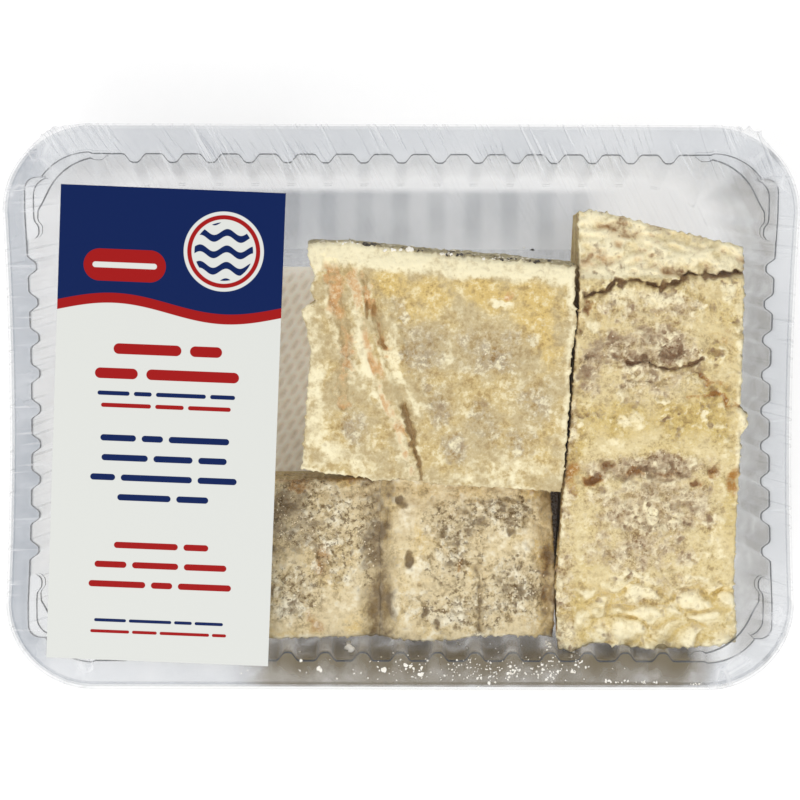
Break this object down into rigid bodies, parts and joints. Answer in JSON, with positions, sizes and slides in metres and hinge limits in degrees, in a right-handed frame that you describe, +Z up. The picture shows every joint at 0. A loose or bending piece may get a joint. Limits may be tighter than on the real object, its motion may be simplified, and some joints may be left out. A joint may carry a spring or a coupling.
{
  "type": "packed salted dried fish cutlets",
  "caption": "Sealed clear fluted tray of sawn, salted and dried white-fish cutlets on an absorbent pad, overwrapped in stretch film, with a plain paper label.",
  "frame": {"origin": "middle of the pack's base, on the surface that it rests on", "axes": "+X along the pack's length, away from the label; +Y across the pack, towards the label's heading; +Z up, out of the film's flat top"},
  "size_m": [0.223, 0.16, 0.0511],
  "materials": {
    "clear_tray": "clear thermoformed plastic, faintly grey, glossy",
    "stretch_film": "thin clear stretch film with pull lines and creases",
    "welded_film": "several layers of clear film, welded and slightly milky",
    "label_paper": "white coated paper with plain fields of navy and red",
    "absorbent_pad": "quilted, matte, beige grey",
    "golden_flesh": "dry, matte, granular fish flesh, golden to cream, dusted with salt",
    "salted_flesh": "dry, matte, pitted fish flesh, beige grey, heavily salted"
  },
  "bodies": {
    "root": {"tray": "clear_tray", "film": "stretch_film", "film_seam": "welded_film", "label": "label_paper", "pad": "absorbent_pad", "cutlet_centre": "golden_flesh", "cutlet_centre_under": "salted_flesh", "cutlet_right": "golden_flesh", "cutlet_left": "salted_flesh", "cutlet_middle": "salted_flesh"}
  },
  "joints": []
}
